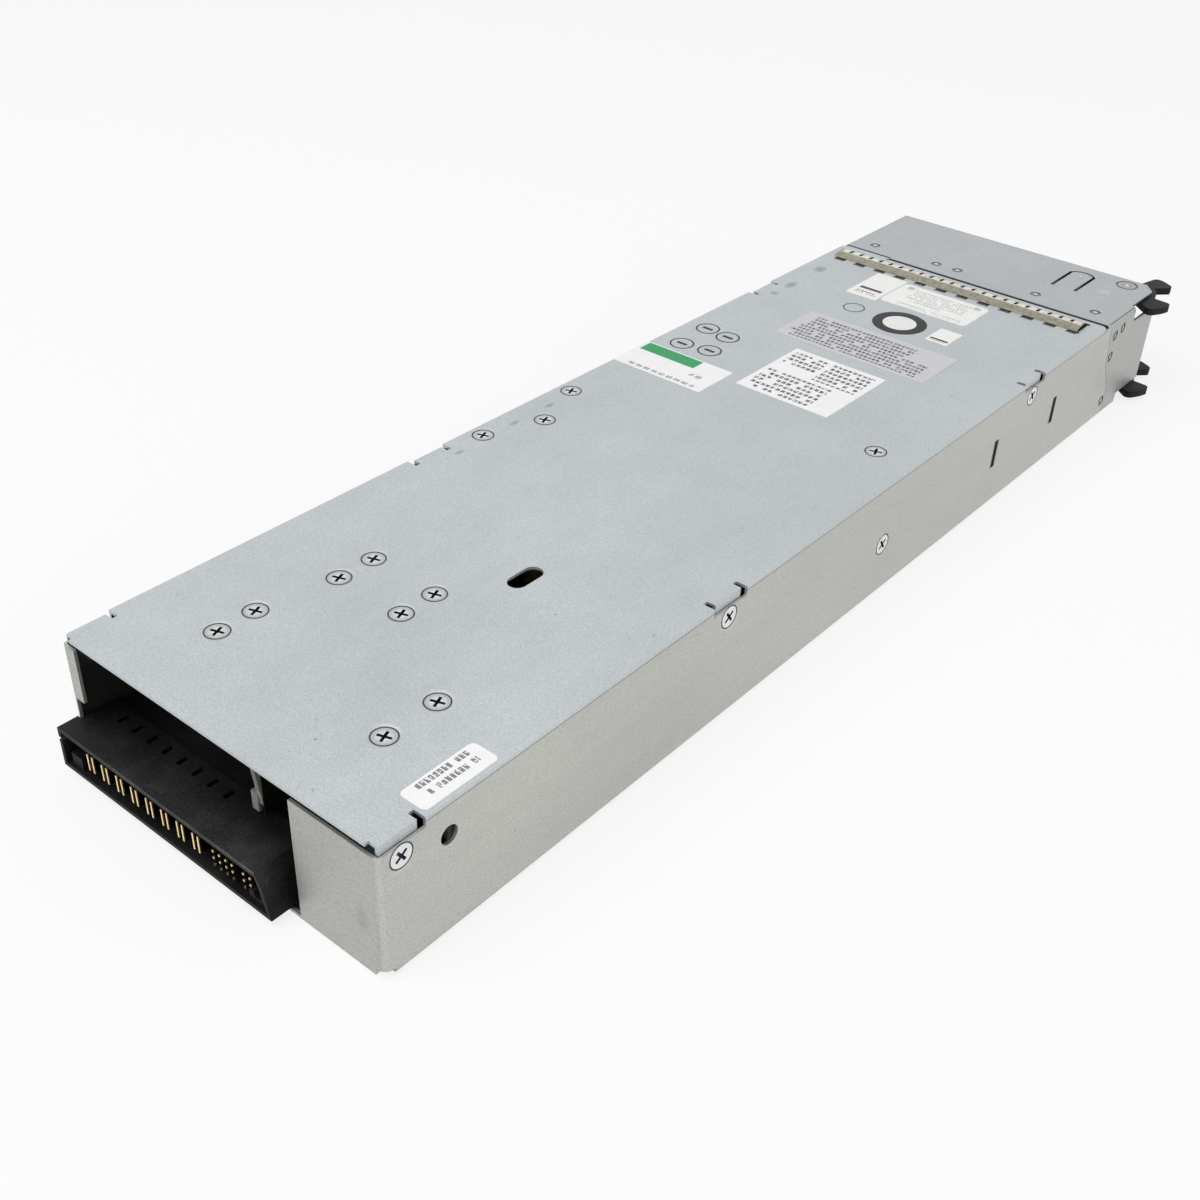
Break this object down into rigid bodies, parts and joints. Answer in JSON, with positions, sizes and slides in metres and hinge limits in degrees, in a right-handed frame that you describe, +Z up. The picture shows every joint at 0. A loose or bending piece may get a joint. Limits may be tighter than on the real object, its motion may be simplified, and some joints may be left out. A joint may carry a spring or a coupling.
{
  "type": "rack power supply module",
  "caption": "Long flat plug-in switching power supply in a folded steel case, with an edge power connector, a fan bay and an ejector lever.",
  "frame": {"origin": "middle of the case's underside, between the two side walls and the two ends of the sheet metal case", "axes": "+Z up, +Y along the case towards the output connector, X across the case; the ejector lever is at the -Y end on the -X side"},
  "size_m": [0.1286, 0.4539, 0.0439],
  "materials": {
    "black_package": "matte",
    "black_plastic": "matte",
    "blue_disc": "gloss",
    "bright_screw": "bright",
    "capacitor_sleeve": "gloss",
    "ceramic_fuse": "satin",
    "clear_film": "satin",
    "copper_bar": "satin",
    "cover_sheet": "satin",
    "enamelled_wire": "gloss",
    "ferrite": "matte",
    "film_capacitor": "satin",
    "galvanised_sheet": "satin",
    "gold_contact": "bright",
    "green_board": "satin",
    "grey_relay": "matte",
    "lamp": "gloss",
    "plain_aluminium": "satin",
    "red_disc": "gloss",
    "spring_strip": "semi bright",
    "tape_winding": "satin",
    "wire_insulation": "satin",
    "yellow_core": "satin"
  },
  "bodies": {
    "case": {"base_tray": "galvanised_sheet", "board_screws": "bright_screw", "board_standoffs": "bright_screw", "boost_capacitors": "film_capacitor", "boost_choke_core": "yellow_core", "boost_choke_winding": "enamelled_wire", "bridge_heatsink": "plain_aluminium", "bridge_rectifier": "black_package", "bridge_transistors": "black_package", "bulk_capacitors": "capacitor_sleeve", "bus_bars": "copper_bar", "card_parts": "black_package", "connector_housing": "black_plastic", "control_card": "green_board", "cover_screws": "bright_screw", "fan_frame_left": "black_plastic", "fan_frame_right": "black_plastic", "fan_rivets": "bright_screw", "finger_strip": "spring_strip", "front_panel": "galvanised_sheet", "front_shell": "galvanised_sheet", "fuse_clips": "bright_screw", "inlet_body": "black_plastic", "inlet_leads": "wire_insulation", "inlet_pins": "bright_screw", "inrush_relay": "grey_relay", "insulator_film": "clear_film", "lamp_board": "green_board", "lever_pivots": "bright_screw", "line_capacitors": "film_capacitor", "line_choke_core": "ferrite", "line_choke_winding": "enamelled_wire", "line_fuse": "ceramic_fuse", "main_board": "green_board", "output_capacitors": "plain_aluminium", "output_choke_core": "yellow_core", "output_choke_winding": "enamelled_wire", "output_heatsinks": "plain_aluminium", "output_rectifiers": "black_package", "power_blades": "gold_contact", "primary_heatsink": "plain_aluminium", "primary_transistors": "black_package", "resonant_choke": "ferrite", "safety_capacitors": "blue_disc", "side_screws": "bright_screw", "signal_pins": "gold_contact", "status_lights": "lamp", "surge_absorber": "red_disc", "tab_nuts": "bright_screw", "top_cover": "cover_sheet", "transformer_bobbin": "black_plastic", "transformer_core": "ferrite", "transformer_winding": "tape_winding"},
    "lever": {"ejector_lever": "black_plastic"},
    "rotor_left": {"fan_rotor_left": "black_plastic"},
    "rotor_right": {"fan_rotor_right": "black_plastic"}
  },
  "joints": [
    {"name": "lever_hinge", "type": "hinge", "parent": "case", "child": "lever", "pos_m": [-0.0481, -0.2108, 0.02125], "axis": [0, 0, -1], "range_deg": [0, 65]},
    {"name": "fan_spin_left", "type": "hinge", "parent": "case", "child": "rotor_left", "pos_m": [0.003, -0.1785, 0.02125], "axis": [0, 1, 0], "continuous": true},
    {"name": "fan_spin_right", "type": "hinge", "parent": "case", "child": "rotor_right", "pos_m": [-0.038, -0.1785, 0.02125], "axis": [0, 1, 0], "continuous": true}
  ]
}
